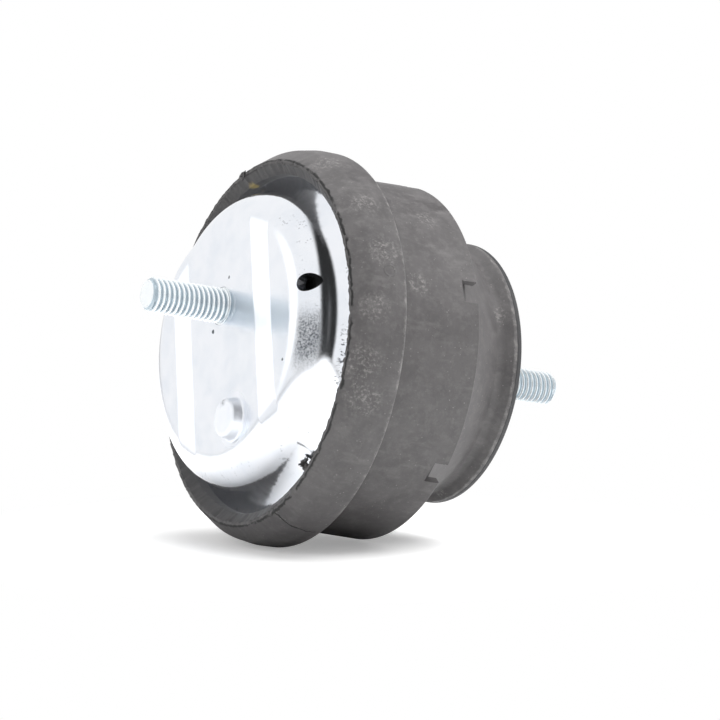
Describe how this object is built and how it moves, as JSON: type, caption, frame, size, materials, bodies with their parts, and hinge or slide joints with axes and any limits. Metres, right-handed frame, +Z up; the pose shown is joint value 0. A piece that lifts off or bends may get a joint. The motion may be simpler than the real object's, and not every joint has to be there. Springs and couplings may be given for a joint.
{
  "type": "engine mount",
  "caption": "Round hydraulic rubber engine mount with a threaded stud at each end, a pressed steel base pan and a notched rubber skirt.",
  "frame": {"origin": "where the mount's own axis meets the seat face of the base pan", "axes": "+Z up the mount's axis, from the seat face to the stud that carries the engine bracket; +X along the seat strip of the pan, from the base stud towards the locating boss"},
  "size_m": [0.09, 0.09, 0.1075],
  "materials": {
    "zinc_pan": "bright zinc plating, slightly blue, satin",
    "zinc_stud": "zinc plated rolled thread, bluish",
    "steel_sleeve": "phosphated steel, matt",
    "black_plate": "black coating, matt",
    "cast_aluminium": "as cast, matt",
    "body_rubber": "natural rubber, matt, moulded",
    "membrane_rubber": "smooth matt rubber"
  },
  "bodies": {
    "root": {"base_pan": "zinc_pan", "base_stud": "zinc_stud", "diaphragm": "membrane_rubber", "channel_cover": "cast_aluminium", "decoupler": "membrane_rubber", "channel_body": "cast_aluminium", "outer_sleeve": "steel_sleeve", "rubber_body": "body_rubber", "core": "cast_aluminium", "core_plate": "black_plate", "core_stud": "zinc_stud"}
  },
  "joints": []
}
